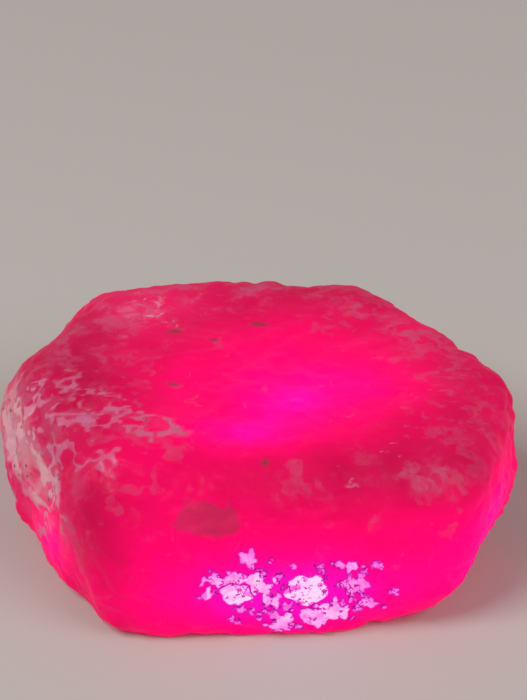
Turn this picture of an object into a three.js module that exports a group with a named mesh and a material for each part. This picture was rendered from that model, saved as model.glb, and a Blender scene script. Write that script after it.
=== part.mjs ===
// Raw ruby crystal: a worn hexagonal tablet of corundum that rests on a flat natural base.
// Millimetres, +Z up. The origin is on the base plane, under the middle of the stone.

import * as THREE from 'three';
import { mergeVertices } from 'three/addons/utils/BufferGeometryUtils.js';

// Driving dimensions. Every face is placed by its distance from one point inside the crystal,
// its heart, which stands this high over the base plane.
const HEART_HEIGHT = 5.5;

// How crisp the edges between two faces are: a river-worn pebble is about 6, a fresh crystal 30.
const EDGE_SHARPNESS = 15;

// Half the length, depth and height of the box that spreads the vertices evenly over the stone.
const HALF_SIZE = new THREE.Vector3(16.5, 13.5, 6);

// Squares along one side of each of the six patches that wrap the stone.
const PATCH_SQUARES = 20;

// The six prism sides, one every 60 degrees from the front. Each has turned and leaned a little
// from the regular form, in degrees, and stands its own distance from the heart. Wear has cut
// back its edge with the top and its edge with the base by the last two lengths.
const FRONT_AZIMUTH = -90;
const SIDE_STEP = 60;
const FRONT = { turn: 0, lean: 5, distance: 12.5, wornAbove: 2, wornBelow: 0 };
const RIGHT_FRONT = { turn: 10, lean: 0, distance: 17, wornAbove: 1, wornBelow: 2.5 };
const RIGHT_BACK = { turn: 5, lean: -15, distance: 13.5, wornAbove: 0, wornBelow: 2 };
const BACK = { turn: 0, lean: -10, distance: 13.5, wornAbove: 1, wornBelow: 3.5 };
const LEFT_BACK = { turn: 5, lean: -10, distance: 16, wornAbove: 1.5, wornBelow: 3.5 };
const LEFT_FRONT = { turn: 0, lean: 5, distance: 14, wornAbove: 0, wornBelow: 0 };
const SIDES = [FRONT, RIGHT_FRONT, RIGHT_BACK, BACK, LEFT_BACK, LEFT_FRONT];

// The top leans a little to the right. The base face lies just under the resting plane.
const TOP = { azimuth: 0, elevation: 87, distance: 5.5 };
const BASE = { azimuth: 0, elevation: -90, distance: 5.75 };

// The worn edges with the top and the base are bevels that face halfway up and halfway down.
const BEVEL_TILT = 45;

// Swells (positive) and hollows (negative) left by growth and wear: where the middle lies, seen
// from the heart, in degrees, and the spread and the rise in millimetres.
const SWELLS = [
  { azimuth: 110, elevation: 20, spread: 3, rise: 0.2 },
  { azimuth: 75, elevation: 15, spread: 1.5, rise: -0.3 },
  { azimuth: 60, elevation: 15, spread: 1.5, rise: 0.2 },
  { azimuth: 50, elevation: 15, spread: 1.5, rise: -0.3 },
  { azimuth: 35, elevation: 20, spread: 1.5, rise: -0.2 },
  { azimuth: 20, elevation: 15, spread: 1.5, rise: -0.2 },
  { azimuth: 0, elevation: 5, spread: 2, rise: -0.3 },
  { azimuth: 150, elevation: 20, spread: 3, rise: -0.3 },
  { azimuth: -10, elevation: -20, spread: 2.5, rise: -0.4 },
  { azimuth: -45, elevation: -30, spread: 2.5, rise: -0.3 },
  { azimuth: -60, elevation: 10, spread: 2.5, rise: -0.3 },
  { azimuth: -95, elevation: -30, spread: 5, rise: 0.5 },
  { azimuth: -90, elevation: 55, spread: 3.5, rise: -0.2 },
  { azimuth: -130, elevation: 5, spread: 2.5, rise: 0.3 },
];

// Gentle unevenness over the whole stone: waves with their rise and the three lengths, in
// millimetres, at which they repeat along X, Y and Z.
const WAVES = [
  { rise: 0.1, length: new THREE.Vector3(10, 13, 20), phase: 0.5 },
  { rise: 0.1, length: new THREE.Vector3(-12, 8, 17), phase: 2 },
  { rise: 0.05, length: new THREE.Vector3(7, -9, 11), phase: 4.5 },
];

// A unit vector from an azimuth about +Z, counted from +X, and an elevation, both in degrees.
function direction({ azimuth, elevation }) {
  const polar = THREE.MathUtils.degToRad(90 - elevation);
  const around = THREE.MathUtils.degToRad(azimuth);
  return new THREE.Vector3(
    Math.sin(polar) * Math.cos(around),
    Math.sin(polar) * Math.sin(around),
    Math.cos(polar),
  );
}

// The bevel of a side towards the top or the base. It lies as far out as the sharp edge of the
// two faces would reach, less what wear has cut back.
function bevel(azimuth, elevation, side, cap, worn) {
  const reach = (side.distance + cap.distance) * Math.cos(THREE.MathUtils.degToRad(BEVEL_TILT));
  return { normal: direction({ azimuth, elevation }), distance: reach - worn };
}

// All the face planes as outward normals with their distances from the heart.
function crystalFaces() {
  const faces = [TOP, BASE].map((face) => ({ normal: direction(face), distance: face.distance }));
  SIDES.forEach((side, index) => {
    const azimuth = FRONT_AZIMUTH + SIDE_STEP * index + side.turn;
    faces.push(
      { normal: direction({ azimuth, elevation: side.lean }), distance: side.distance },
      bevel(azimuth, BEVEL_TILT, side, TOP, side.wornAbove),
      bevel(azimuth, -BEVEL_TILT, side, BASE, side.wornBelow),
    );
  });
  return faces;
}

const FACES = crystalFaces();

// The point of the worn polyhedron in a direction from the heart. Its distance is a power mean
// of the distances to the single planes, which rounds every edge where two of them meet.
function wornPoint(along) {
  let sum = 0;
  for (const { normal, distance } of FACES) {
    sum += Math.max(0, normal.dot(along) / distance) ** EDGE_SHARPNESS;
  }
  return along.clone().multiplyScalar(sum ** (-1 / EDGE_SHARPNESS));
}

const SWELL_MIDDLES = SWELLS.map((swell) => wornPoint(direction(swell)));

// Rise of the swells and waves at a point of the worn polyhedron.
function relief(place) {
  let rise = 0;
  SWELLS.forEach((swell, index) => {
    const reach = place.distanceTo(SWELL_MIDDLES[index]) / swell.spread;
    rise += swell.rise * Math.exp(-(reach ** 2));
  });
  for (const wave of WAVES) {
    const turns = place.x / wave.length.x + place.y / wave.length.y + place.z / wave.length.z;
    rise += wave.rise * Math.sin(2 * Math.PI * turns + wave.phase);
  }
  return rise;
}

// The surface in a direction from the heart, which ends at the flat that the stone rests on.
function surfacePoint(along) {
  const place = wornPoint(along);
  const distance = place.length() + relief(place);
  const flat = along.z < 0 ? HEART_HEIGHT / -along.z : Infinity;
  return along.clone().multiplyScalar(Math.min(distance, flat));
}

// The stone as one closed skin: a cube of patches, each vertex moved out along its own
// direction from the heart, then centred over the origin.
function rubyGeometry() {
  const box = new THREE.BoxGeometry(2, 2, 2, PATCH_SQUARES, PATCH_SQUARES, PATCH_SQUARES);
  box.deleteAttribute('normal');
  box.deleteAttribute('uv');
  const skin = mergeVertices(box, 1e-6);
  const corners = skin.getAttribute('position');
  const along = new THREE.Vector3();
  for (let index = 0; index < corners.count; index += 1) {
    along.fromBufferAttribute(corners, index);
    along.set(...along.toArray().map((step) => Math.tan((step * Math.PI) / 4)));
    along.multiply(HALF_SIZE).normalize();
    const { x, y, z } = surfacePoint(along);
    corners.setXYZ(index, x, y, Math.max(0, z + HEART_HEIGHT));
  }
  skin.computeBoundingBox();
  const middle = skin.boundingBox.getCenter(new THREE.Vector3());
  skin.translate(-middle.x, -middle.y, 0);
  skin.computeVertexNormals();
  return skin;
}

const ruby = new THREE.Mesh(
  rubyGeometry(),
  new THREE.MeshStandardMaterial({ color: 0xd0164e, roughness: 0.4, metalness: 0 }),
);
ruby.name = 'ruby_crystal';

const part = new THREE.Group();
part.add(ruby);

export default part;
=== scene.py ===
"""Raw ruby crystal: a worn hexagonal tablet that glows as if a torch stood under it.

The stone is one closed skin worked out with numpy, with pale flakes that stand on it. Its
tables are in millimetres, +Z up and the front towards -Y, and places in them are counted from
the point of the resting plane under its middle where nothing else is said. Meshes are metres.
"""

import functools

import bpy
import numpy as np
from bpy.props import FloatProperty, FloatVectorProperty, IntProperty, PointerProperty
from bpy.types import Operator, Panel, PropertyGroup
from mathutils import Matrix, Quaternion, Vector


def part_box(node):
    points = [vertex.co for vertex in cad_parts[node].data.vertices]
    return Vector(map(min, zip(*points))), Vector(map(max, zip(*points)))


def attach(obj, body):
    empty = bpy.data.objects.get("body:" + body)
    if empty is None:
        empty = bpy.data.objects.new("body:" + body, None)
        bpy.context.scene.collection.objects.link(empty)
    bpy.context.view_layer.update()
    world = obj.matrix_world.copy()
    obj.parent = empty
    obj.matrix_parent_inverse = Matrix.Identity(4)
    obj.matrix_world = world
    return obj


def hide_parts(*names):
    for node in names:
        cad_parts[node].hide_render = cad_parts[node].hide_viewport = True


bl_info = {
    "name": "Raw ruby crystal",
    "version": (1, 0, 0),
    "blender": (4, 5, 0),
    "location": "View3D > Sidebar > Ruby",
    "description": "Makes a raw ruby crystal, its pale flakes and a studio stage",
    "category": "Add Mesh",
}

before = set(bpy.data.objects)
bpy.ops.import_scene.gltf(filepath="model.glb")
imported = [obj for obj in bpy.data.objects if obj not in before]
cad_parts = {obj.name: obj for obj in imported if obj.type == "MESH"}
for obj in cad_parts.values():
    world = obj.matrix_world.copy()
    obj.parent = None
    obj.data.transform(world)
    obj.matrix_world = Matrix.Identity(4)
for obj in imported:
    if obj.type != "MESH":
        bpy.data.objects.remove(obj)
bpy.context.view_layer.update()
STONE_LOW, STONE_HIGH = (np.array(corner) * 1000 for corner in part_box("ruby_crystal"))

MM = 0.001

# ---- The stone's shape, as the solid has it ----

# Faces are placed by their distance from the heart, a point inside, this high over the base.
HEART_HEIGHT = 5.5

# How crisp the edges between two faces are: a worn pebble is about 6, a fresh crystal 30.
EDGE_SHARPNESS = 15

# Half the size of the box that spreads the points evenly over the stone.
HALF_SIZE = np.array([16.5, 13.5, 6.0])

# One prism side every 60 degrees: turn and lean from the regular form in degrees, distance,
# and how far wear has cut back the edges with the top and with the base.
FRONT_AZIMUTH = -90
SIDE_STEP = 60
SIDES = (
    (0, 5, 12.5, 2.0, 0.0),  # front
    (10, 0, 17.0, 1.0, 2.5),  # right front
    (5, -15, 13.5, 0.0, 2.0),  # right back
    (0, -10, 13.5, 1.0, 3.5),  # back
    (5, -10, 16.0, 1.5, 3.5),  # left back
    (0, 5, 14.0, 0.0, 0.0),  # left front
)

# The bevels face halfway up and halfway down.
BEVEL_TILT = 45

# Distances of the top and the base face, and the elevations that they face. The top leans a
# little to the right, and the base face lies just under the resting plane.
TOP_HEIGHT, BASE_DEPTH = 5.5, 5.75
CAP_ELEVATIONS = (87, -90)

# Swells and hollows: azimuth and elevation of the middle, spread, rise.
SWELLS = (
    (110, 20, 3.0, 0.2),
    (75, 15, 1.5, -0.3),
    (60, 15, 1.5, 0.2),
    (50, 15, 1.5, -0.3),
    (35, 20, 1.5, -0.2),
    (20, 15, 1.5, -0.2),
    (0, 5, 2.0, -0.3),
    (150, 20, 3.0, -0.3),
    (-10, -20, 2.5, -0.4),
    (-45, -30, 2.5, -0.3),
    (-60, 10, 2.5, -0.3),
    (-95, -30, 5.0, 0.5),
    (-90, 55, 3.5, -0.2),
    (-130, 5, 2.5, 0.3),
)

# Waves over the whole stone: rise, lengths along X, Y and Z, phase.
WAVES = (
    (0.1, (10, 13, 20), 0.5),
    (0.1, (-12, 8, 17), 2.0),
    (0.05, (7, -9, 11), 4.5),
)

# How many plane waves make a smooth random field, and the range of their lengths as shares of
# the length asked for.
RIPPLE_WAVES = 28
RIPPLE_SHARES = (0.7, 1.4)

# Fine relief that the solid leaves out: wavelength, rise, seed. Billows are rounded bumps
# that meet in creases, and their mean height is taken off. Grain is plain unevenness.
BILLOWS = ((3.4, 0.10, 11), (1.7, 0.045, 12))
BILLOW_MEAN = 0.8
GRAIN = ((1.1, 0.014, 13), (0.6, 0.007, 14))

# Pits: how many, smallest and largest radius, depth as a share of the radius, seed.
PITS = ((150, 0.5, 1.1, 0.10, 21), (420, 0.25, 0.5, 0.16, 22))

# The flakes' shallow seat: middle and half size along X and, from the heart, along Z, and depth.
SEAT_MIDDLE = (2.0, -2.0)
SEAT_HALF = (6.8, 3.2)
SEAT_DEPTH = 0.16

# Corners are merged where they agree to this many steps in 1, and the least drop of a direction
# that a height is divided by.
MERGE_STEPS = 1e6
SMALLEST_DROP = 1e-9


def normalised(vectors):
    """Vectors of length 1 along the ones given, one a row."""
    return vectors / np.linalg.norm(vectors, axis=1, keepdims=True)


def unit(azimuth, elevation):
    """Unit vectors from azimuths about +Z, counted from +X, and elevations, in degrees."""
    around, up = np.radians(azimuth), np.radians(elevation)
    return np.stack([np.cos(around) * np.cos(up), np.sin(around) * np.cos(up), np.sin(up)], -1)


def crystal_faces():
    """Outward normals of all the crystal's faces and their distances from the heart.

    A bevel faces halfway up or down. Its distance is that of the sharp edge it replaces,
    (side + top) * cos(45 degrees), less what wear has cut back.
    """
    turn, lean, distance, worn_above, worn_below = np.array(SIDES, float).T
    around = FRONT_AZIMUTH + SIDE_STEP * np.arange(len(SIDES)) + turn
    tilt = np.full(len(SIDES), BEVEL_TILT)
    share = np.cos(np.radians(BEVEL_TILT))
    normals = [unit(around, lean), unit(around, tilt), unit(around, -tilt)]
    normals.append(unit(np.zeros(2), np.array(CAP_ELEVATIONS)))
    above = (distance + TOP_HEIGHT) * share - worn_above
    below = (distance + BASE_DEPTH) * share - worn_below
    distances = [distance, above, below, [TOP_HEIGHT, BASE_DEPTH]]
    return np.concatenate(normals), np.concatenate(distances)


FACE_NORMALS, FACE_DISTANCES = crystal_faces()


def worn_points(along):
    """Points of the worn polyhedron in the directions given.

    The distance is the power mean (sum of (n . d / h) ** k) ** (-1 / k) over the faces, with
    k the edge sharpness, which rounds each edge where two faces meet.
    """
    shares = np.maximum(0.0, along @ FACE_NORMALS.T / FACE_DISTANCES)
    return along * ((shares**EDGE_SHARPNESS).sum(1) ** (-1 / EDGE_SHARPNESS))[:, None]


def ripple(places, length, seed):
    """A smooth random field of about unit size.

    It is the sum of cos(2 pi * way . place / length + phase) over plane waves in random
    directions, times the square root of 2 over their number.
    """
    rng = np.random.default_rng(seed)
    ways = normalised(rng.normal(size=(RIPPLE_WAVES, 3)))
    ways *= 2 * np.pi / length / rng.uniform(*RIPPLE_SHARES, (RIPPLE_WAVES, 1))
    phases = rng.uniform(0, 2 * np.pi, RIPPLE_WAVES)
    return np.cos(places @ ways.T + phases).sum(1) * np.sqrt(2 / RIPPLE_WAVES)


def nearness(places, middles, radii):
    """For each place the sum of radius * (1 - (distance / radius) ** 2) ** 2 over the middles.

    A middle counts only for the places that lie within its radius.
    """
    total = np.zeros(len(places))
    for middle, radius in zip(middles, radii):
        close = np.abs(places - middle).max(1) < radius
        square = ((places[close] - middle) ** 2).sum(1) / radius**2
        total[close] += np.maximum(0.0, 1 - square) ** 2 * radius
    return total


def broad_relief(places):
    """Rise of the swells, exp(-(distance / spread) ** 2) each, and of the sine waves."""
    rise = np.zeros(len(places))
    for azimuth, elevation, spread, height in SWELLS:
        middle = worn_points(unit([azimuth], [elevation]))
        rise += height * np.exp(-((places - middle) ** 2).sum(1) / spread**2)
    for height, lengths, phase in WAVES:
        rise += height * np.sin(2 * np.pi * (places / np.array(lengths)).sum(1) + phase)
    return rise


def flake_seat(places):
    """1 where the pale flakes lie and 0 far from it: exp(-(a ** 4 + b ** 4)), in front only.

    a and b are the distances from its middle along X and Z, over its half size.
    """
    x, y, z = places.T
    far = ((x - SEAT_MIDDLE[0]) / SEAT_HALF[0]) ** 4 + ((z - SEAT_MIDDLE[1]) / SEAT_HALF[1]) ** 4
    return np.exp(-far) * (y < 0)


def fine_relief(places):
    """Rise of the billows, height * (|field| - its mean), the grain, the pits and the seat."""
    rise = -SEAT_DEPTH * flake_seat(places)
    for length, height, seed in BILLOWS:
        rise += height * (np.abs(ripple(places, length, seed)) - BILLOW_MEAN)
    for length, height, seed in GRAIN:
        rise += height * ripple(places, length, seed)
    for count, smallest, largest, depth, seed in PITS:
        rng = np.random.default_rng(seed)
        middles = worn_points(spread_directions(rng.normal(size=(count, 3))))
        rise -= depth * nearness(places, middles, rng.uniform(smallest, largest, count))
    return rise


def spread_directions(directions):
    """Directions stretched with the stone's half size, so that they cover it evenly."""
    return normalised(directions * HALF_SIZE)


def raw_surface(along, lift=0.0):
    """Surface points over the heart's foot, lifted off the skin, down to the flat base."""
    worn = worn_points(along)
    distance = np.linalg.norm(worn, axis=1) + broad_relief(worn) + fine_relief(worn) + lift
    down = np.maximum(-along[:, 2], SMALLEST_DROP)
    flat = np.where(along[:, 2] < 0, HEART_HEIGHT / down, np.inf)
    points = along * np.minimum(distance, flat)[:, None]
    points[:, 2] = np.maximum(0.0, points[:, 2] + HEART_HEIGHT)
    return points


def cube_patches(squares):
    """Directions and quads of a closed ball made of six square patches.

    A patch is the grid (1, tan(u), tan(v)) turned to one side of a cube, stretched with the
    stone's half size. Equal directions of neighbouring patches are merged.
    """
    steps = np.tan(np.linspace(-1, 1, squares + 1) * np.pi / 4)
    u, v = np.meshgrid(steps, steps, indexing="ij")
    one = np.ones_like(u)
    sides = ((one, u, v), (-one, -u, v), (-u, one, v), (u, -one, v), (u, v, one), (u, -v, -one))
    corners = np.concatenate([np.stack(side, -1).reshape(-1, 3) for side in sides])
    index = np.arange(len(corners)).reshape(6, squares + 1, squares + 1)
    quads = np.stack([index[:, :-1, :-1], index[:, 1:, :-1], index[:, 1:, 1:], index[:, :-1, 1:]], -1)
    keys = np.round(corners * MERGE_STEPS).astype(np.int64)
    _, first, merged = np.unique(keys, axis=0, return_index=True, return_inverse=True)
    return spread_directions(corners[first]), merged.reshape(-1)[quads.reshape(-1, 4)]


class StoneShape:
    """The fine skin, fitted once to the solid's box, and any other surface that lies on it."""

    def __init__(self, squares):
        self.along, self.quads = cube_patches(squares)
        points = raw_surface(self.along)
        low, high = points.min(0), points.max(0)
        self.scale = (STONE_HIGH - STONE_LOW) / (high - low)
        self.low = low
        self.points = self.placed(points)
        self.frayed = self.pushed_about(self.points)

    def placed(self, points):
        """Points moved and scaled a hair, so that the fine skin fills the solid's box."""
        return (points - self.low) * self.scale + STONE_LOW

    def surface(self, along, lift=0.0):
        """Points on the stone in the directions given, lifted by the millimetres given."""
        return self.placed(raw_surface(along, lift))

    def onto_skin(self, points):
        """Points moved along their directions from the heart until they lie on the skin."""
        return self.surface(normalised(points - np.array([0.0, 0.0, HEART_HEIGHT])))

    def pushed_about(self, points):
        """Points of the skin pushed about along it by smooth random amounts."""
        push = np.zeros_like(points)
        for length, amount, seed in FRAYING:
            for axis in range(3):
                push[:, axis] += amount * ripple(points, length, seed + axis)
        return self.onto_skin(points + push)


@functools.lru_cache(maxsize=1)
def stone_shape(squares):
    """The stone's shape, worked out once for all the pieces that need it."""
    return StoneShape(squares)


# ---- Painted light, painted reflections and stains on the skin ----

# The painted torch light everywhere, and soft pools of it, those below 0 painted shade: middle, half
# widths, brightness added.
LIGHT_EVERYWHERE = 0.33
LIGHT_POOLS = (
    ((2.0, -1.5, 11.0), (8.0, 7.5, 5.0), 0.30),  # the lit top
    ((-0.5, -7.0, 11.0), (3.4, 2.0, 4.0), 0.32),  # and its hot streak
    ((2.5, -4.0, 11.0), (3.0, 2.4, 4.0), 0.22),
    ((6.5, -1.5, 11.0), (4.5, 2.4, 4.0), 0.16),
    ((0.5, -13.5, 4.5), (12.0, 4.0, 5.0), 0.30),  # the front
    ((2.0, -13.5, 3.0), (7.0, 3.0, 2.6), 0.46),
    ((13.5, -9.0, 5.0), (4.0, 5.5, 4.0), 0.40),  # the right face
    ((15.0, -6.5, 7.0), (2.5, 4.5, 1.8), 0.12),
    ((-13.5, -7.5, 3.5), (2.4, 3.2, 2.4), 0.42),  # the left face, low down
    ((0.0, 13.5, 2.0), (12.0, 5.0, 3.2), 0.34),  # the back and its two neighbours
    ((13.5, 7.0, 2.0), (4.0, 6.0, 3.2), 0.30),
    ((-13.5, 7.0, 2.0), (4.0, 6.0, 3.2), 0.28),
    ((5.0, -10.5, 9.8), (7.5, 2.2, 1.6), -0.20),  # painted shade on the front ridge
    ((12.5, -7.5, 9.8), (4.0, 4.5, 2.0), -0.16),
    ((-9.5, -11.0, 7.0), (1.8, 3.0, 3.4), -0.20),
    ((-14.5, -1.0, 9.5), (4.0, 6.0, 4.0), -0.18),
    ((-5.0, 5.5, 11.5), (5.0, 4.5, 2.5), -0.06),
    ((-6.5, 7.5, 11.5), (3.0, 2.5, 2.5), 0.10),
    ((-10.5, -2.0, 11.0), (3.0, 6.0, 2.5), -0.15),
    ((-7.0, -9.0, 10.5), (2.5, 2.5, 2.5), 0.10),
    ((5.0, 10.5, 10.5), (8.0, 4.0, 2.5), -0.14),
    ((-11.5, 6.5, 10.5), (3.0, 4.0, 2.5), -0.08),
    ((14.0, 1.0, 10.5), (3.0, 5.5, 2.5), -0.12),
)

# Where the veil lies, a faint painted reflection that mostly dims the painted glow as painted shade:
# middle, half widths, strength.
REFLECTED_VEIL_POOLS = (
    ((-15.0, -1.0, 8.5), (4.6, 6.5, 5.0), 0.90),
    ((-12.5, -7.0, 8.0), (3.0, 3.5, 4.0), 0.65),
    ((-10.5, -10.5, 4.5), (2.5, 2.5, 3.5), 0.50),
    ((-10.5, -2.5, 11.0), (3.0, 5.0, 2.5), 0.45),
    ((-8.5, 6.0, 11.5), (5.5, 4.5, 2.5), 0.60),
    ((-1.0, 11.0, 10.5), (8.0, 3.0, 2.5), 0.50),
    ((7.5, 9.0, 10.5), (5.5, 3.5, 2.5), 0.55),
    ((11.5, 3.5, 10.5), (3.5, 5.0, 2.5), 0.55),
    ((14.0, -4.0, 10.5), (2.6, 5.5, 1.8), 0.65),
    ((10.5, -10.5, 9.5), (4.0, 2.2, 2.0), 0.60),
    ((4.0, -10.8, 9.6), (4.5, 1.6, 1.4), 0.40),
    ((0.0, 13.5, 7.0), (13.0, 4.0, 4.0), 0.45),
    ((14.0, 6.0, 7.0), (4.5, 7.0, 4.0), 0.40),
    ((-13.0, 8.0, 7.0), (4.5, 6.0, 4.0), 0.50),
)

# Where a whitish, frosty-looking painted reflection lies on the left end and the back left rim, given in
# the same way.
FROSTY_REFLECTION_POOLS = (
    ((-16.0, 0.0, 8.5), (2.2, 4.5, 3.2), 0.75),
    ((-14.5, -3.5, 8.0), (1.8, 3.0, 3.0), 0.70),
    ((-13.0, -6.5, 6.5), (1.7, 2.4, 2.6), 0.65),
    ((-15.5, 5.0, 7.0), (2.2, 4.0, 3.0), 0.70),
    ((-7.5, 7.5, 11.5), (3.4, 3.0, 2.0), 0.45),
)

# Pale threads of painted reflection: the places each one passes, which are put onto the skin, and its half
# width.
THREADS = (
    (((-13.5, -0.5, 11.0), (-12.5, -1.5, 11.0), (-13.0, -2.5, 11.0), (-14.0, -3.0, 10.5)), 0.18),
    (((-11.0, -0.5, 11.5), (-11.0, -2.5, 11.5), (-11.5, -4.5, 11.0)), 0.22),
    (((-11.5, -4.5, 11.0), (-10.5, -5.5, 11.5), (-9.5, -5.5, 11.5)), 0.30),
    (((-11.0, -2.5, 11.5), (-9.5, -5.0, 11.5), (-8.5, -6.0, 11.5)), 0.18),
    (((-9.5, -5.5, 11.5), (-7.5, -6.0, 11.5), (-6.0, -6.5, 11.5), (-5.0, -7.5, 11.5)), 0.32),
    (((-16.0, 0.5, 8.5), (-15.5, -1.5, 7.0), (-15.0, -3.0, 5.5)), 0.45),
    (((-15.0, -1.5, 9.5), (-14.5, -3.0, 9.0)), 0.40),
    (((-13.5, -4.5, 9.5), (-13.5, -5.0, 8.0), (-12.5, -6.5, 7.0)), 0.35),
    (((-12.5, -5.5, 10.0), (-11.5, -7.5, 10.0), (-10.5, -8.5, 10.5), (-8.5, -9.5, 10.5)), 0.22),
    (((-12.0, -6.5, 9.5), (-12.5, -6.5, 8.0), (-12.0, -7.5, 7.0), (-11.5, -9.0, 6.0)), 0.25),
    (((-15.0, -3.0, 5.5), (-14.0, -4.5, 5.5), (-13.0, -6.5, 5.5)), 0.30),
    (((-8.5, 7.0, 11.5), (-7.5, 7.0, 11.5), (-6.5, 6.0, 11.5)), 0.10),
    (((-7.0, 8.0, 11.5), (-6.0, 7.0, 11.5), (-5.0, 6.0, 11.5)), 0.12),
    (((5.0, -10.5, 10.0), (5.0, -11.0, 9.5)), 0.08),
    (((7.5, -8.5, 10.5), (8.5, -8.0, 10.5)), 0.12),
)

# Patches of painted reflection, which also dim the painted glow, given in the same way.
PATCHES = (
    (((-9.0, -6.5, 11.5), (-7.0, -7.5, 11.5)), 0.60),
    (((-6.5, -6.5, 11.5), (-5.0, -7.5, 11.5), (-4.5, -8.5, 11.0)), 0.50),
    (((-7.5, -11.0, 9.5), (-6.5, -11.0, 10.0), (-6.0, -10.5, 10.5)), 0.28),
    (((-7.5, 1.0, 11.5), (-7.0, 0.0, 11.5)), 0.35),
    (((-8.5, -2.0, 11.5), (-7.0, -2.0, 11.5)), 0.25),
    (((-8.0, -4.0, 11.5), (-7.0, -4.0, 11.5)), 0.30),
    (((-4.5, -1.5, 11.5), (-3.5, -3.0, 11.0), (-2.5, -4.5, 11.0)), 0.15),
    (((-3.0, 3.0, 11.5), (-2.5, 2.5, 11.5)), 0.25),
    (((-6.5, 8.5, 11.5), (-5.0, 8.5, 11.5)), 0.50),
    (((-1.0, 10.0, 11.0), (1.5, 10.0, 11.0)), 0.45),
    (((4.5, 5.0, 11.0), (6.0, 5.5, 11.0)), 0.30),
    (((5.0, 9.0, 11.0), (8.0, 7.5, 10.5)), 0.45),
    (((9.0, 4.5, 10.5), (10.5, 3.0, 10.5)), 0.35),
    (((12.0, 1.5, 10.5), (13.0, 0.0, 10.0)), 0.40),
    (((9.5, -4.5, 10.5), (10.0, -5.0, 10.5)), 0.25),
    (((11.5, -2.5, 10.5), (12.0, -3.5, 10.5)), 0.35),
    (((11.0, -7.5, 10.5), (12.5, -7.0, 10.0), (13.0, -9.0, 9.5)), 0.45),
    (((14.0, -4.0, 10.0), (15.5, -4.0, 9.0)), 0.45),
    (((8.5, -10.5, 9.5), (9.5, -10.5, 9.5)), 0.55),
    (((10.5, -10.5, 9.5), (11.5, -10.5, 9.0), (11.5, -11.0, 8.5)), 0.45),
    (((10.0, -12.0, 7.0), (11.0, -12.0, 7.0)), 0.30),
    (((1.5, -11.0, 10.0), (3.0, -11.0, 10.0)), 0.40),
    (((-10.5, -10.5, 5.5), (-10.5, -11.0, 4.5)), 0.45),
    (((-9.0, -11.5, 9.0), (-8.5, -11.5, 8.5)), 0.25),
)

# The oval spot over the front ridge, where the painted glow is dimmed and the skin is a little paler and
# rougher: middle and half widths.
OVAL_SPOT = ((-3.0, -12.0, 8.3), (2.1, 3.0, 1.15))

# Dark stains on the top: middle and half widths.
STAINS = (
    ((-5.0, 4.5, 11.5), (0.7, 0.35, 1.0)),
    ((-2.5, 3.5, 11.5), (0.5, 0.30, 1.0)),
    ((0.5, 5.5, 11.0), (0.8, 0.35, 1.0)),
    ((-5.0, -1.5, 11.5), (0.7, 0.30, 1.0)),
    ((0.5, -10.0, 10.5), (0.3, 0.40, 1.0)),
)

# Painted reflections, as threads and patches, that wander over the sides that face away: how many, steps,
# length of a step, seed.
WANDER_THREADS = (60, 4, 0.9, 31)
WANDER_PATCHES = (70, 2, 0.8, 32)
WANDER_WIDTHS = (0.15, 0.45)

# One starts in a direction from the heart that points back and hardly up, or down and hardly
# to the front: limits along Y and Z, and how many times as many starts are drawn as are kept.
BEHIND = (0.25, 0.05)
UNDER = (-0.3, -0.1)
WANDER_DRAWS = 3

# How marks are pushed about along the skin: wavelength, amount, seed.
FRAYING = ((2.2, 0.40, 51), (0.8, 0.20, 61))

# A mark's field falls from 1 on its line to 0 at this many half widths, and its line is laid
# onto the skin at this spacing.
MARK_REACH = 3.0
MARK_SPACING = 0.2


def pools(places, table):
    """Sum of soft pools, strength * exp(-|(p - middle) / half| ** 2)."""
    total = np.zeros(len(places))
    for middle, half, strength in table:
        total += strength * np.exp(-(((places - middle) / half) ** 2).sum(1))
    return total


def wandering_marks(shape, count, steps, length, seed):
    """Marks that start at random places of the back and the sides and wander from there."""
    rng = np.random.default_rng(seed)
    starts = spread_directions(rng.normal(size=(count * WANDER_DRAWS, 3)))
    _, y, z = starts.T
    behind = (y > BEHIND[0]) & (z < BEHIND[1])
    under = (y > UNDER[0]) & (z < UNDER[1])
    starts = starts[behind | under][:count]
    ways = rng.normal(size=(len(starts), steps, 3)) * length
    places = shape.surface(starts)[:, None] + np.cumsum(ways, axis=1)
    return list(zip(places, rng.uniform(*WANDER_WIDTHS, len(starts))))


def mark_field(shape, marks):
    """The largest of 1 - distance / reach over the marks, each laid onto the skin."""
    field = np.zeros(len(shape.frayed))
    for line, width in marks:
        line = np.array(line, float)
        lengths = np.linalg.norm(np.diff(line, axis=0), axis=1)
        along = np.concatenate([[0.0], np.cumsum(lengths)])
        steps = np.linspace(0.0, along[-1], int(along[-1] / MARK_SPACING) + 2)
        path = np.stack([np.interp(steps, along, line[:, axis]) for axis in range(3)], 1)
        path = shape.onto_skin(path)
        reach = width * MARK_REACH
        low, high = path.min(0) - reach, path.max(0) + reach
        close = ((shape.frayed > low) & (shape.frayed < high)).all(1)
        gaps = np.linalg.norm(shape.frayed[close][:, None] - path[None], axis=2).min(1)
        field[close] = np.maximum(field[close], 1.0 - gaps / reach)
    return field


# ---- Pale flakes on the lower front ----

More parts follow.
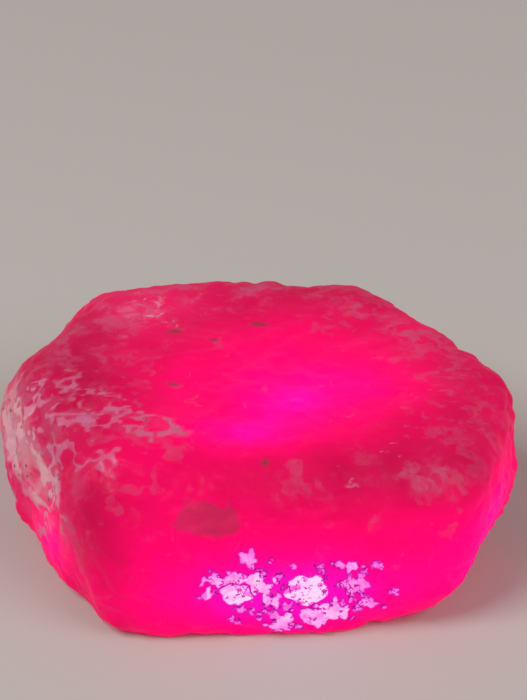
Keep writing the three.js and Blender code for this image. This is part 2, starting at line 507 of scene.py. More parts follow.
# Flakes: middle along X and Z, half width, half height and how pale each one is, which also sets its
# painted glow.
FLAKES = (
    (-0.5, 6.0, 0.6, 0.6, 0.55),
    (-2.0, 4.5, 1.3, 0.4, 0.60),
    (-1.6, 3.9, 1.6, 0.95, 0.72),
    (0.1, 4.0, 1.1, 1.0, 0.78),
    (1.0, 3.0, 0.8, 0.5, 0.65),
    (0.5, 2.0, 0.8, 0.5, 0.50),
    (1.5, 1.3, 1.2, 0.6, 0.60),
    (4.2, 1.9, 1.9, 0.9, 0.72),
    (4.5, 5.2, 1.1, 0.3, 0.45),
    (6.0, 5.0, 0.6, 0.4, 0.60),
    (6.0, 3.5, 0.8, 0.8, 0.50),
    (7.0, 2.5, 0.6, 0.6, 0.50),
    (8.0, 1.8, 0.5, 0.3, 0.45),
    (-3.5, 3.5, 0.5, 0.4, 0.40),
)

# The two unbroken ones keep a smooth rim.
WHOLE_FLAKES = (
    (-1.3, 3.3, 1.0, 0.75, 0.95),
    (3.1, 3.6, 1.35, 1.05, 1.00),
)

# Crumbs: how many, smallest and largest half size, seed, then the middle and the spread of their swarm
# along X and Z, and how pale they are, which also sets their painted glow.
CRUMBS = (70, 0.12, 0.36, 41)
SWARM_MIDDLE = (2.6, 3.3)
SWARM_SPREAD = (3.0, 1.3)
CRUMB_PALENESS_AND_GLOW = 0.45

# The sheet that they are torn from: range along X and Z, spacing of its grid, and how far in
# front of the heart it hangs.
SHEET_X = (-5.0, 9.0)
SHEET_Z = (0.5, 7.0)
SHEET_STEP = 0.05
SHEET_REACH = 13.0

# Its angular tears: spacing and seed for flakes and for crumbs, amount and length of the
# unevenness, and the share of bits that fell out of a flake.
FLAKE_TEARS = (0.34, 43)
CRUMB_TEARS = (0.18, 47)
TEAR_UNEVENNESS = (0.20, 0.6)
HOLE_SHARE = 0.07

# The whole flakes: slope inwards, amount, length and seed of their rims' wobble, and place and
# half width of the ditch round them.
WHOLE_SLOPE = 0.9
RIM_WOBBLE = (0.08, 0.9, 46)
DITCH_PLACE = 0.03
DITCH_HALF = 0.045

# The torn edge: rounds of filling in corner contacts, the least slope that pulls grid points
# onto it, and the most they move, in grid spacings.
FILL_ROUNDS = 4
LEAST_SLOPE = 0.2
PULL_LIMIT = 0.4

# A flake's height, its rim's share of that, its rim's width, its bumps (amount, length, seed)
# and how deep its back lies in the stone.
FLAKE_RISE = 0.11
RIM_SHARE = 0.35
RIM_WIDTH = 0.12
FLAKE_BUMPS = ((0.012, 0.6, 44), (0.008, 0.25, 45))
FLAKE_ROOT = 0.08

# Flakes stay this far inside the solid's box.
BOX_MARGIN = 0.002


def crumbs():
    """Crumbs in the same form as the flakes, scattered round the middle of their swarm."""
    count, smallest, largest, seed = CRUMBS
    rng = np.random.default_rng(seed)
    middles = rng.normal(SWARM_MIDDLE, SWARM_SPREAD, (count, 2))
    halves = rng.uniform(smallest, largest, (count, 2))
    return np.concatenate([middles, halves, np.full((count, 1), CRUMB_PALENESS_AND_GLOW)], 1)


def cover(x, z, flakes):
    """How deep each place lies in its nearest flake, 1 - |(place - middle) / half|."""
    flakes = np.array(flakes)
    across = (x[:, None] - flakes[:, 0]) / flakes[:, 2]
    up = (z[:, None] - flakes[:, 1]) / flakes[:, 3]
    return 1.0 - np.hypot(across, up)


def torn(x, z, flakes, step, seed):
    """Distance in from the torn edge of the flakes, positive inside.

    It is half of (distance to the nearest seed left out - distance to the nearest seed kept),
    so that every edge is made of short straight tears.
    """
    rng = np.random.default_rng(seed)
    seed_x, seed_z = np.meshgrid(np.arange(*SHEET_X, step), np.arange(*SHEET_Z, step))
    seeds = np.stack([seed_x.ravel(), seed_z.ravel()], 1)
    seeds += rng.uniform(-0.5, 0.5, seeds.shape) * step
    amount, length = TEAR_UNEVENNESS
    uneven = amount * ripple(np.insert(seeds, 1, 0.0, axis=1), length, seed)
    kept = (cover(*seeds.T, flakes).max(1) + uneven > 0.0) & (rng.random(len(seeds)) > HOLE_SHARE)
    gaps = np.hypot(x[:, None] - seeds[:, 0], z[:, None] - seeds[:, 1])
    return (gaps[:, ~kept].min(1) - gaps[:, kept].min(1)) / 2


def sheet_depth(x, z):
    """Distance in from the nearest edge: the larger of the whole flakes' and the torn ones'.

    The torn ones also end at the ditch, where |whole + its place| is less than its half width.
    """
    amount, length, seed = RIM_WOBBLE
    wobble = amount * ripple(np.stack([x, np.zeros_like(x), z], 1), length, seed)
    whole = cover(x, z, WHOLE_FLAKES).max(1) * WHOLE_SLOPE + wobble
    ditch = np.abs(whole + DITCH_PLACE) - DITCH_HALF
    edges = [torn(x, z, FLAKES, *FLAKE_TEARS), torn(x, z, crumbs(), *CRUMB_TEARS)]
    return np.maximum(whole, np.minimum(np.maximum(*edges), ditch))


def sheet_paleness_and_glow(x, z):
    """How pale the flake nearest to each place is, which also sets its painted glow."""
    flakes = np.concatenate([FLAKES, WHOLE_FLAKES, crumbs()])
    return flakes[cover(x, z, flakes).argmax(1), 4]


def without_corner_contacts(cells):
    """Fills in the cells where two others would touch at a corner only."""
    for _ in range(FILL_ROUNDS):
        low_left, low_right = cells[:-1, :-1], cells[1:, :-1]
        up_left, up_right = cells[:-1, 1:], cells[1:, 1:]
        rising = low_left & up_right & ~low_right & ~up_left
        falling = low_right & up_left & ~low_left & ~up_right
        low_right |= rising
        low_left |= falling
    return cells


def closed_sheet(cells):
    """Quads of the front, the back and the walls round the kept cells of a grid.

    The first half of the indices is the front sheet and the second half the back sheet.
    """
    size = np.add(cells.shape, 1)
    index = np.arange(size.prod()).reshape(size)
    corners = np.stack([index[:-1, :-1], index[1:, :-1], index[1:, 1:], index[:-1, 1:]], -1)
    framed = np.pad(cells, 1)
    neighbours = (framed[1:-1, :-2], framed[2:, 1:-1], framed[1:-1, 2:], framed[:-2, 1:-1])
    front = corners[cells]
    quads = [front, front[:, ::-1] + index.size]
    for side, neighbour in enumerate(neighbours):
        first, second = corners[cells & ~neighbour][:, [side, (side + 1) % 4]].T
        quads.append(np.stack([second, first, first + index.size, second + index.size], 1))
    return np.concatenate(quads)


def pulled_to_edge(x, z, depth):
    """Grid places near the torn edge, moved down the slope of the depth until they lie on it."""
    slope_x, slope_z = np.gradient(depth, SHEET_STEP)
    steepness = np.maximum(slope_x**2 + slope_z**2, LEAST_SLOPE)
    pull = np.where(np.abs(depth) < SHEET_STEP, -depth / steepness, 0.0)
    limit = SHEET_STEP * PULL_LIMIT
    return x + np.clip(pull * slope_x, -limit, limit), z + np.clip(pull * slope_z, -limit, limit)


def flake_rise(along, depth):
    """Height over the skin: it grows from the rim inwards to the full one, and has bumps."""
    places = along * SHEET_REACH
    bumps = sum(amount * ripple(places, length, seed) for amount, length, seed in FLAKE_BUMPS)
    inwards = np.minimum(depth / RIM_WIDTH, 1.0)
    return FLAKE_RISE * (RIM_SHARE + (1 - RIM_SHARE) * inwards) + bumps


def flake_mesh(shape):
    """The flakes as closed thin plates: points, quads, and the fields for their material."""
    columns, rows = np.arange(*SHEET_X, SHEET_STEP), np.arange(*SHEET_Z, SHEET_STEP)
    x, z = np.meshgrid(columns, rows, indexing="ij")
    depth = sheet_depth(x.ravel(), z.ravel()).reshape(x.shape)
    middle = (depth[:-1, :-1] + depth[1:, :-1] + depth[1:, 1:] + depth[:-1, 1:]) / 4
    quads = closed_sheet(without_corner_contacts(middle > 0))
    x, z = (axis.ravel() for axis in pulled_to_edge(x, z, depth))
    depth = np.maximum(depth.ravel(), 0.0)
    along = normalised(np.stack([x, np.full_like(x, -SHEET_REACH), z - HEART_HEIGHT], 1))
    front = shape.surface(along, flake_rise(along, depth))
    back = shape.surface(along, -FLAKE_ROOT)
    points = np.clip(np.concatenate([front, back]), STONE_LOW + BOX_MARGIN, STONE_HIGH - BOX_MARGIN)
    used, renumbered = np.unique(quads, return_inverse=True)
    fields = {"depth": np.tile(depth, 2)[used], "bright": np.tile(sheet_paleness_and_glow(x, z), 2)[used]}
    return points[used], renumbered.reshape(-1, 4), fields


# ---- Meshes and nodes ----

# A Mix node's colour sockets by their numbers, since its other sockets have the same names.
MIX_FIRST, MIX_SECOND, MIX_RESULT = 6, 7, 2


def add_mesh(name, points, faces, fields=None):
    """A smooth mesh object in metres from points in millimetres, with its named fields."""
    mesh = bpy.data.meshes.new(name)
    mesh.from_pydata((points * MM).tolist(), [], faces.tolist())
    mesh.shade_smooth()
    for field, values in (fields or {}).items():
        layer = mesh.attributes.new(field, "FLOAT", "POINT")
        layer.data.foreach_set("value", np.asarray(values, np.float32))
    piece = bpy.data.objects.new(name, mesh)
    bpy.context.collection.objects.link(piece)
    return piece


class Wire:
    """A node's output. Arithmetic on it adds Math nodes."""

    def __init__(self, graph, socket):
        self.graph = graph
        self.socket = socket

    def math(self, operation, first, second=0.0):
        """A Math node on two values."""
        inputs = {0: first, 1: second}
        return self.graph.node("ShaderNodeMath", {"operation": operation}, inputs)

    def __add__(self, other):
        return self.math("ADD", self, other)

    def __sub__(self, other):
        return self.math("SUBTRACT", self, other)

    def __rsub__(self, other):
        return self.math("SUBTRACT", other, self)

    def __mul__(self, other):
        return self.math("MULTIPLY", self, other)

    __radd__ = __add__
    __rmul__ = __mul__

    def clipped(self):
        """The value kept between 0 and 1."""
        return self.graph.node("ShaderNodeClamp", {}, {"Value": self})

    def rise(self, low, high):
        """A smooth step from 0 at low to 1 at high."""
        settings = {"interpolation_type": "SMOOTHSTEP"}
        inputs = {"Value": self, "From Min": low, "From Max": high}
        return self.graph.node("ShaderNodeMapRange", settings, inputs)

    def folded(self):
        """Distance from the middle value of a noise, 0 on its crease and about 1 far off."""
        return self.math("ABSOLUTE", self * 2.0 - 1.0)


class Graph:
    """The node tree of one material."""

    def __init__(self, name):
        self.material = bpy.data.materials.new(name)
        self.material.use_nodes = True
        self.tree = self.material.node_tree
        self.tree.nodes.clear()

    def node(self, kind, settings, inputs, output=0):
        """Adds a node: its settings first, then the values or links of its sockets."""
        made = self.tree.nodes.new(kind)
        for name, value in settings.items():
            if name == "stops":
                fill_ramp(made.color_ramp, value)
            else:
                setattr(made, name, value)
        for name, value in inputs.items():
            if isinstance(value, Wire):
                self.tree.links.new(value.socket, made.inputs[name])
            else:
                made.inputs[name].default_value = value
        return Wire(self, made.outputs[output]) if made.outputs else None

    def field(self, name):
        """A field that the mesh carries at its points."""
        return self.node("ShaderNodeAttribute", {"attribute_name": name}, {}, "Fac")

    def vector(self, operation, inputs):
        """Arithmetic on places."""
        return self.node("ShaderNodeVectorMath", {"operation": operation}, inputs)

    def millimetres(self):
        """Object coordinates in millimetres."""
        place = self.node("ShaderNodeTexCoord", {}, {}, "Object")
        return self.vector("SCALE", {0: place, "Scale": 1 / MM})

    def noise(self, place, length, detail, roughness=0.55, output="Fac"):
        """Noise whose largest features are about the length given."""
        inputs = {"Vector": place, "Scale": 1 / length, "Detail": detail, "Roughness": roughness}
        return self.node("ShaderNodeTexNoise", {}, inputs, output)

    def warped(self, place, length, amount):
        """The place pushed about by a noise, by up to about half the amount each way."""
        push = self.noise(place, length, detail=2.0, output="Color")
        centred = self.vector("SUBTRACT", {0: push, 1: (0.5, 0.5, 0.5)})
        scaled = self.vector("SCALE", {0: centred, "Scale": amount})
        return self.vector("ADD", {0: place, 1: scaled})

    def bent_noise(self, place, bend_length, bend, squeeze, length, detail, roughness):
        """Noise over the place once a broader noise has pushed it about, squeezed along Z."""
        bent = self.warped(place, bend_length, bend)
        squeezed = self.vector("MULTIPLY", {0: bent, 1: (1.0, 1.0, squeeze)})
        return self.noise(squeezed, length, detail, roughness)

    def mix(self, share, first, second):
        """Mixes two colours by a share."""
        inputs = {0: share, MIX_FIRST: first, MIX_SECOND: second}
        return self.node("ShaderNodeMix", {"data_type": "RGBA"}, inputs, MIX_RESULT)

    def ramp(self, value, stops):
        """A colour ramp of (position, colour) stops."""
        return self.node("ShaderNodeValToRGB", {"stops": stops}, {"Fac": value})

    def bump(self, height):
        """Small relief from a height between 0 and 1."""
        inputs = {"Height": height, "Distance": BUMP_HEIGHT * MM, "Strength": BUMP_STRENGTH}
        return self.node("ShaderNodeBump", {}, inputs)

    def dots(self, place, density, reach, edge):
        """Scattered dots of this reach in cells with a soft edge, so many cells to a millimetre."""
        cells = self.node("ShaderNodeTexVoronoi", {}, {"Vector": place, "Scale": density})
        return (reach - cells).rise(0.0, edge)

    def finish(self, inputs):
        """Adds the surface shader and the output."""
        surface = self.node("ShaderNodeBsdfPrincipled", {}, inputs)
        self.node("ShaderNodeOutputMaterial", {}, {"Surface": surface})
        return self.material


def rgba(colour):
    """A colour with full alpha."""
    return (*colour, 1.0)


def fill_ramp(ramp, stops):
    """Sets a colour ramp's stops, given as (position, (red, green, blue))."""
    while len(ramp.elements) < len(stops):
        ramp.elements.new(0.5)
    for element, (position, colour) in zip(ramp.elements, stops):
        element.position = position
        element.color = rgba(colour)


# ---- Materials ----

# The painted torch light that the stone gives off as emission, from its darkest parts to its hot middle.
GLOW_STOPS = (
    (0.0, (0.16, 0.002, 0.02)),
    (0.2, (0.36, 0.002, 0.045)),
    (0.4, (0.62, 0.001, 0.08)),
    (0.58, (0.92, 0.0, 0.14)),
    (0.76, (1.0, 0.0, 0.24)),
    (1.0, (0.94, 0.002, 0.54)),
)

# The painted torch light that a flake gives off as emission, from its darkest cracks and painted edge
# shadow to its palest middle.
FLAKE_STOPS = (
    (0.0, (0.26, 0.0, 0.15)),
    (0.14, (0.68, 0.0, 0.44)),
    (0.32, (0.95, 0.09, 0.68)),
    (0.62, (1.0, 0.27, 0.82)),
    (1.0, (1.0, 0.64, 0.92)),
)

# Noises: length and amount of their bends, squeeze along Z, length, detail, roughness.
SKIN_NOISES = {
    "cloud": (4.0, 2.2, 1.0, 3.0, 4.0, 0.55),  # slow change of the glow
    "smoke": (2.6, 3.0, 1.0, 2.2, 5.0, 0.60),  # soft wisps of the veil
    "fray": (1.1, 1.2, 1.0, 0.9, 6.0, 0.65),  # soft wisps of the painted veil of reflection
    "tear": (1.5, 2.0, 1.0, 1.4, 5.0, 0.60),  # crisp gaps in shreds and patches
    "flow": (2.6, 3.0, 0.55, 1.5, 6.0, 0.62),  # tall streaks of the frosty painted reflection
}
FLAKE_NOISES = {
    "mottle": (0.8, 0.8, 1.0, 0.7, 5.0, 0.60),
    "crack": (0.5, 0.7, 1.0, 0.8, 3.0, 0.55),
}

# Marks made from a mesh field: the field, the noise that frays it and how strongly, and the
# two values between which the mark rises.
FRAYED_MARKS = {
    "patch": ("patch", "fray", 2.0, 0.42, 0.80),
    "spot": ("spot", "fray", 1.1, 0.36, 0.56),
    "thread": ("thread", "fray", 1.0, 0.48, 0.78),
    "halo": ("thread", "tear", 1.6, 0.10, 0.75),
    "frost": ("frost", "flow", 2.4, 0.35, 1.15),
}

# The edge of the painted veil of reflection in the smoke. The edges of its shreds in the smoke and in the
# tears, and how much the veil's field helps each.
REFLECTED_VEIL_EDGE = (0.25, 0.75)
WISP_HELP, WISP_EDGE = 0.22, (0.56, 0.80)
SHRED_HELP, SHRED_EDGE = 0.14, (0.535, 0.595)

# The share of a patch that stays where it is torn, the share added elsewhere and the edge of
# the tears, and the share of a thread that stays and what the smoke adds.
PATCH_KEPT, PATCH_ADDED, PATCH_EDGE = 0.25, 0.9, (0.35, 0.62)
THREAD_KEPT, THREAD_ADDED = 0.45, 0.9

# How much each mark whitens the skin as painted reflection, and how much it dims the painted glow under it.
MARK_SHARES = {
    "veil": (0.06, 0.26),
    "shreds": (0.14, 0.28),
    "patch": (0.09, 0.27),
    "halo": (0.09, 0.22),
    "thread": (0.30, 0.42),
    "thread_in_frosty_reflection": (0.50, 0.0),
    "frost": (0.48, 0.48),
    "mist": (0.26, 0.0),
    "spot": (0.05, 0.30),
    "torn spot": (0.0, 0.50),
}

# The edge of a stain, how much of it shows where the fraying is least, and how dark it is.
STAIN_EDGE = (0.2, 0.9)
STAIN_LEAST = 0.35
STAIN_DARKNESS = 0.8

# Dark dots: cells to a millimetre, reach and soft edge in cells, how much the frosty painted reflection,
# patches and threads let them show, the edge of that, and how dark they are.
SKIN_DOTS = (1.1, 0.16, 0.05)
DOTS_IN_FROSTY_REFLECTION, DOTS_IN_PATCH, DOTS_IN_THREAD = 0.8, 0.6, 0.6
DOTS_EDGE = (0.3, 0.7)
DOT_DARKNESS = 0.75

# The painted glow that is left under the thickest painted reflections and in stains and dots.
DIMMED_GLOW = (0.10, 0.01, 0.02)
DARK_GLOW = (0.06, 0.01, 0.015)

# The waxy skin: grain, how much grain and marks roughen it, and heights in its relief.
GRAIN_NOISE = (0.35, 4.0, 0.6)
GRAIN_ROUGHNESS, DULL_ROUGHNESS = 0.25, 0.12
GRAIN_HEIGHT, DULL_HEIGHT, DARK_DEPTH = 0.5, 0.6, 0.4
BUMP_HEIGHT, BUMP_STRENGTH = 0.1, 0.5

# Refraction, the shine of the skin and of the flakes, and a thin coat, thicker where painted reflections
# whiten the skin.
REFRACTION = 1.5
SKIN_SHINE, FLAKE_SHINE = 0.03, 0.08
COAT_LEAST, COAT_ON_WHITE, COAT_ROUGHNESS = 0.02, 0.5, 0.3

# The painted shadow along the flakes' torn edges: width and light left. Their cracks: width, darkness and
# breaks.
FLAKE_EDGE_SHADOW = 0.11
FLAKE_EDGE_SHADOW_LIGHT = 0.05
CRACK_WIDTH = 0.10
CRACK_DARKNESS = 0.95
CRACK_BREAKS, CRACK_BREAK_EDGE = (0.9, 2.0), (0.46, 0.52)

# Their dark dots, given as the skin's are, the part of the mottling that has them, and their
# roughness and its range.
FLAKE_DOTS = (2.4, 0.20, 0.06)
FLAKE_DOTS_EDGE = (0.42, 0.56)
FLAKE_DOT_DARKNESS = 0.8
FLAKE_ROUGHNESS, FLAKE_ROUGHNESS_RANGE = 0.55, 0.3

# Colours of the flakes' cracks and painted edge shadow, and of their dots.
CRACK_AND_SHADOW_COLOUR = (0.08, 0.0, 0.06)
FLAKE_DOT_GLOW = (0.12, 0.01, 0.09)
FLAKE_DOT_COLOUR = (0.15, 0.02, 0.08)


def skin_marks(graph, noises):
    """The painted reflections and the oval spot on the skin by name, each 0 where there is none and about 1
    at its fullest.

    A frayed mark is its field plus (noise - 0.5) * strength, cut off between two values.
    """
    marks = {}
    for name, (field, noise, strength, low, high) in FRAYED_MARKS.items():
        marks[name] = (graph.field(field) + (noises[noise] - 0.5) * strength).rise(low, high)
    veil, frost = graph.field("veil"), graph.field("frost")
    smoke, tear = noises["smoke"], noises["tear"]
    wisps = (smoke + veil * WISP_HELP).rise(*WISP_EDGE)
    marks["veil"] = (veil * smoke.rise(*REFLECTED_VEIL_EDGE)).clipped()
    marks["shreds"] = wisps * (tear + veil * SHRED_HELP).rise(*SHRED_EDGE)
    marks["patch"] = marks["patch"] * (tear.rise(*PATCH_EDGE) * PATCH_ADDED + PATCH_KEPT)
    marks["thread"] = marks["thread"] * (smoke * THREAD_ADDED + THREAD_KEPT)
    marks["thread_in_frosty_reflection"] = marks["thread"] * frost
    marks["mist"] = frost * smoke
    marks["torn spot"] = marks["spot"] * tear
    return marks


def cover_and_shade(marks, reflection_haze):
    """How much the marks whiten the skin as painted reflection and dim the painted glow: two sums of mark *
    share * strength of the painted reflections.
    """
    pairs = [(marks[name], shares) for name, shares in MARK_SHARES.items()]
    return [(sum(mark * shares[k] for mark, shares in pairs) * reflection_haze).clipped() for k in (0, 1)]


def dark_spots(graph, place, noises, marks):
    """The stains on the top and the dots where the frosty painted reflection, the patches and the threads
    lie.
    """
    stain = graph.field("stain").rise(*STAIN_EDGE) * (noises["fray"] + STAIN_LEAST).clipped()
    ground = graph.field("frost") * DOTS_IN_FROSTY_REFLECTION + graph.field("patch") * DOTS_IN_PATCH
    ground = (ground + marks["thread"] * DOTS_IN_THREAD).rise(*DOTS_EDGE)
    dots = graph.dots(place, *SKIN_DOTS) * ground
    return (stain * STAIN_DARKNESS + dots * DOT_DARKNESS).clipped()


def ruby_material(settings):
    """Ruby that gives off painted torch light, under a waxy worn skin with a veil, pale shreds and threads
    of painted reflection.

    The painted glow follows the mesh's light field with a little cloud. Each mark whitens the skin as
    painted reflection and dims the painted glow under it.
    """
    graph = Graph("Ruby")
    place = graph.millimetres()
    noises = {name: graph.bent_noise(place, *row) for name, row in SKIN_NOISES.items()}
    marks = skin_marks(graph, noises)
    dark = dark_spots(graph, place, noises, marks)
    reflection_white, dimmed_and_rough = cover_and_shade(marks, settings.reflection_haze)

    # The painted reflections whiten the base colour, and the marks dim the painted torch light that the
    # stone gives off as emission.
    frosty_share = (marks["frost"] + marks["thread_in_frosty_reflection"]).clipped()
    reflection = graph.mix(frosty_share, rgba(settings.reflection_colour), rgba(settings.frosty_reflection_colour))
    body = graph.mix(reflection_white, rgba(settings.body_colour), reflection)
    light = graph.field("light") + (noises["cloud"] - 0.5) * settings.clouding
    glow = graph.mix(dimmed_and_rough, graph.ramp(light.clipped(), GLOW_STOPS), rgba(DIMMED_GLOW))
    grain = graph.noise(place, *GRAIN_NOISE)
    rough = settings.roughness + (grain - 0.5) * GRAIN_ROUGHNESS + dimmed_and_rough * DULL_ROUGHNESS
    return graph.finish({
        "Base Color": graph.mix(dark, body, rgba(settings.stain_colour)),
        "Roughness": rough.clipped(),
        "IOR": REFRACTION,
        "Specular IOR Level": SKIN_SHINE,
        "Coat Weight": (reflection_white * COAT_ON_WHITE + COAT_LEAST).clipped(),
        "Coat Roughness": COAT_ROUGHNESS,
        "Emission Color": graph.mix(dark, glow, rgba(DARK_GLOW)),
        "Emission Strength": settings.glow,
        "Normal": graph.bump(grain * GRAIN_HEIGHT + dimmed_and_rough * DULL_HEIGHT - dark * DARK_DEPTH),
    })


def flake_material(settings):
    """Thin pale mineral that painted torch light bleaches, purple along its cracks and, as painted shadow,
    along its torn edges.
    """
    graph = Graph("Flakes")
    place = graph.millimetres()
    noises = {name: graph.bent_noise(place, *row) for name, row in FLAKE_NOISES.items()}
    mottle = noises["mottle"]
    breaks = graph.noise(place, *CRACK_BREAKS).rise(*CRACK_BREAK_EDGE)
    cracks = 1.0 - (noises["crack"].folded().rise(0.0, CRACK_WIDTH) + breaks).clipped()
    # Painted shadow along the torn edges darkens both the colour and the glow.
    edge_shadow = graph.field("depth").rise(0.0, FLAKE_EDGE_SHADOW) * (1.0 - FLAKE_EDGE_SHADOW_LIGHT) + FLAKE_EDGE_SHADOW_LIGHT
    bright = graph.field("bright") + (mottle - 0.5) * settings.mottling
    bright = (bright * edge_shadow * (1.0 - cracks * CRACK_DARKNESS)).clipped()

    dots = graph.dots(place, *FLAKE_DOTS) * mottle.rise(*FLAKE_DOTS_EDGE)
    glow = graph.ramp(bright, FLAKE_STOPS)
    body = graph.mix(bright, rgba(CRACK_AND_SHADOW_COLOUR), rgba(settings.colour))
    rough = (mottle - 0.5) * FLAKE_ROUGHNESS_RANGE + FLAKE_ROUGHNESS
    return graph.finish({
        "Base Color": graph.mix(dots, body, rgba(FLAKE_DOT_COLOUR)),
        "Roughness": rough.clipped(),
        "IOR": REFRACTION,
        "Specular IOR Level": FLAKE_SHINE,
        "Emission Color": graph.mix(dots * FLAKE_DOT_DARKNESS, glow, rgba(FLAKE_DOT_GLOW)),
        "Emission Strength": settings.glow,
        "Normal": graph.bump(mottle),
    })


# ---- Settings, operators and panel ----


class RubySettings(PropertyGroup):
    """What a user may change on the stone."""

    squares: IntProperty(
        name="Fineness", description="Squares along one side of a patch", default=128, min=8, max=128
    )
    # The painted torch light that the stone gives off as emission.
    glow: FloatProperty(
        name="Torch glow", description="Strength of the light from inside", default=1.0, min=0.0
    )
    clouding: FloatProperty(
        name="Clouding", description="How much the glow varies", default=0.25, min=0.0
    )
    # How strong the painted reflections are.
    reflection_haze: FloatProperty(
        name="Haze", description="How strong the pale film on the skin is", default=1.0, min=0.0
    )
    roughness: FloatProperty(
        name="Roughness",
        description="Roughness of the waxy skin",
        subtype="FACTOR",
        default=0.38,
        min=0.0,
        max=1.0,
    )
    body_colour: FloatVectorProperty(
        name="Ruby", description="Colour of the stone", subtype="COLOR", default=(0.22, 0.001, 0.02)
    )
    # The colours of the painted reflections, the second for the frosty-looking ones on the left end and the
    # back left rim.
    reflection_colour: FloatVectorProperty(
        name="Haze colour", description="Colour of the film", subtype="COLOR", default=(0.62, 0.20, 0.38)
    )
    frosty_reflection_colour: FloatVectorProperty(
        name="Frost colour", description="Colour of the frost", subtype="COLOR", default=(0.60, 0.32, 0.37)
    )
    stain_colour: FloatVectorProperty(
        name="Stains", description="Colour of stains and dots", subtype="COLOR", default=(0.08, 0.03, 0.035)
    )


class FlakeSettings(PropertyGroup):
    """What a user may change on the pale flakes."""

    # The painted torch light that the flakes give off as emission.
    glow: FloatProperty(
        name="Flake glow", description="Strength of the light through the flakes", default=0.9, min=0.0
    )
    mottling: FloatProperty(
        name="Mottling", description="How much the flakes vary", default=1.0, min=0.0
    )
    colour: FloatVectorProperty(
        name="Flakes", description="Colour of the flakes", subtype="COLOR", default=(0.20, 0.12, 0.17)
    )


class StageSettings(PropertyGroup):
    """What a user may change on the stage."""

    elevation: FloatProperty(
        name="Elevation",
        description="Camera height over the horizon",
        subtype="ANGLE",
        default=np.radians(34.0),
    )
    floor_colour: FloatVectorProperty(
        name="Floor", description="Colour of the floor", subtype="COLOR", default=(0.44, 0.41, 0.39)
    )


class RUBY_OT_stone(Operator):
    """Make the ruby crystal"""

    bl_idname = "ruby.stone"
    bl_label = "Ruby crystal"

    def execute(self, context):
        settings = context.scene.ruby_settings
        shape = stone_shape(settings.squares)
        fields = {
            "light": LIGHT_EVERYWHERE + pools(shape.points, LIGHT_POOLS),
            "veil": pools(shape.points, REFLECTED_VEIL_POOLS),
            "frost": pools(shape.points, FROSTY_REFLECTION_POOLS),
            "thread": mark_field(shape, [*THREADS, *wandering_marks(shape, *WANDER_THREADS)]),
            "patch": mark_field(shape, [*PATCHES, *wandering_marks(shape, *WANDER_PATCHES)]),
            "spot": pools(shape.points, [(*OVAL_SPOT, 1.0)]),
            "stain": pools(shape.points, [(*stain, 1.0) for stain in STAINS]),
        }
        ruby = add_mesh("ruby", shape.points, shape.quads, fields)
        ruby.data.materials.append(ruby_material(settings))
        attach(ruby, "root")
        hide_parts("ruby_crystal")
        return {"FINISHED"}


class RUBY_OT_flakes(Operator):
    """Make the pale flakes on the lower front"""

    bl_idname = "ruby.flakes"
    bl_label = "Pale flakes"

    def execute(self, context):
        shape = stone_shape(context.scene.ruby_settings.squares)
        flakes = add_mesh("front_flakes", *flake_mesh(shape))
        flakes.data.materials.append(flake_material(context.scene.flake_settings))
        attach(flakes, "root")
        return {"FINISHED"}


# The camera stands this many metres from the heart and looks at a point behind and over it.
# Its roll is in degrees and its lens in millimetres.
CAMERA_DISTANCE = 0.150
CAMERA_TARGET = Vector((0.0007, 0.003, 0.0105))
CAMERA_ROLL = -2.0
CAMERA_LENS = 120.0
CAMERA_CLIP = (0.01, 5.0)

# The floor's side in metres, and its roughness and shine.
FLOOR_SIZE = 3.0
FLOOR_ROUGHNESS = 0.7
FLOOR_SHINE = 0.2

# The even light from all round, and the two soft lights: name, place and size in metres, watts.
WALL_COLOUR = (0.50, 0.47, 0.455)
WALL_LIGHT = 0.6
LIGHTS = (
    ("key", (-0.30, -0.15, 0.45), 0.30, 2.2),
    ("fill", (0.35, -0.25, 0.35), 0.30, 1.2),
)


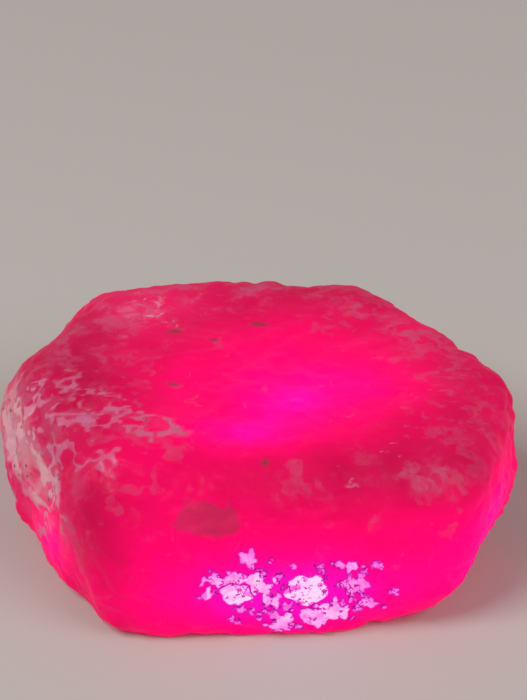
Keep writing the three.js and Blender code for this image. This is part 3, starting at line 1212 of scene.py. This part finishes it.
class RUBY_OT_stage(Operator):
    """Make the floor, the lights and the camera"""

    bl_idname = "ruby.stage"
    bl_label = "Stage"

    def execute(self, context):
        settings = context.scene.stage_settings
        scene = context.scene
        self.make_floor(settings)
        self.make_world(scene)
        for light in LIGHTS:
            self.make_light(*light)
        self.make_camera(scene, settings)
        scene.view_settings.view_transform = "Standard"
        return {"FINISHED"}

    def make_floor(self, settings):
        """A plain square floor, with the stone on its middle."""
        corners = np.array([(-1, -1, 0), (1, -1, 0), (1, 1, 0), (-1, 1, 0)])
        floor = add_mesh("floor", corners * (FLOOR_SIZE / MM / 2), np.array([[0, 1, 2, 3]]))
        graph = Graph("Floor")
        floor.data.materials.append(graph.finish({
            "Base Color": rgba(settings.floor_colour),
            "Roughness": FLOOR_ROUGHNESS,
            "Specular IOR Level": FLOOR_SHINE,
        }))

    def make_world(self, scene):
        """An even soft light from all round, the colour of a pale wall."""
        world = bpy.data.worlds.new("Studio")
        world.use_nodes = True
        background = world.node_tree.nodes["Background"]
        background.inputs["Color"].default_value = rgba(WALL_COLOUR)
        background.inputs["Strength"].default_value = WALL_LIGHT
        scene.world = world

    def make_light(self, name, place, size, power):
        """A square soft light that faces the stone."""
        data = bpy.data.lights.new(name, "AREA")
        data.size = size
        data.energy = power
        light = bpy.data.objects.new(name, data)
        light.location = place
        light.rotation_euler = (-Vector(place)).to_track_quat("-Z", "Y").to_euler()
        bpy.context.collection.objects.link(light)

    def make_camera(self, scene, settings):
        """A long lens that looks down on the front of the stone."""
        data = bpy.data.cameras.new("camera")
        data.lens = CAMERA_LENS
        data.clip_start, data.clip_end = CAMERA_CLIP
        camera = bpy.data.objects.new("camera", data)
        back = Vector(unit(FRONT_AZIMUTH, np.degrees(settings.elevation)))
        camera.location = Vector((0, 0, HEART_HEIGHT * MM)) + back * CAMERA_DISTANCE
        facing = (CAMERA_TARGET - camera.location).to_track_quat("-Z", "Y")
        camera.rotation_mode = "QUATERNION"
        camera.rotation_quaternion = facing @ Quaternion((0, 0, 1), np.radians(CAMERA_ROLL))
        bpy.context.collection.objects.link(camera)
        scene.camera = camera


class RUBY_PT_panel(Panel):
    """Buttons for the pieces and the stage"""

    bl_idname = "RUBY_PT_panel"
    bl_label = "Raw ruby crystal"
    bl_space_type = "VIEW_3D"
    bl_region_type = "UI"
    bl_category = "Ruby"

    def draw(self, context):
        scene = context.scene
        for settings in (scene.ruby_settings, scene.flake_settings, scene.stage_settings):
            for name in settings.__annotations__:
                self.layout.prop(settings, name)
        for operator in OPERATORS:
            self.layout.operator(operator.bl_idname)


OPERATORS = (RUBY_OT_stone, RUBY_OT_flakes, RUBY_OT_stage)
CLASSES = (RubySettings, FlakeSettings, StageSettings, *OPERATORS, RUBY_PT_panel)


def register():
    for made in CLASSES:
        bpy.utils.register_class(made)
    bpy.types.Scene.ruby_settings = PointerProperty(type=RubySettings)
    bpy.types.Scene.flake_settings = PointerProperty(type=FlakeSettings)
    bpy.types.Scene.stage_settings = PointerProperty(type=StageSettings)


def unregister():
    del bpy.types.Scene.stage_settings
    del bpy.types.Scene.flake_settings
    del bpy.types.Scene.ruby_settings
    for made in reversed(CLASSES):
        bpy.utils.unregister_class(made)


def main():
    """Makes everything in order."""
    register()
    bpy.ops.ruby.stone()
    bpy.ops.ruby.flakes()
    bpy.ops.ruby.stage()


if __name__ == "__main__":
    main()
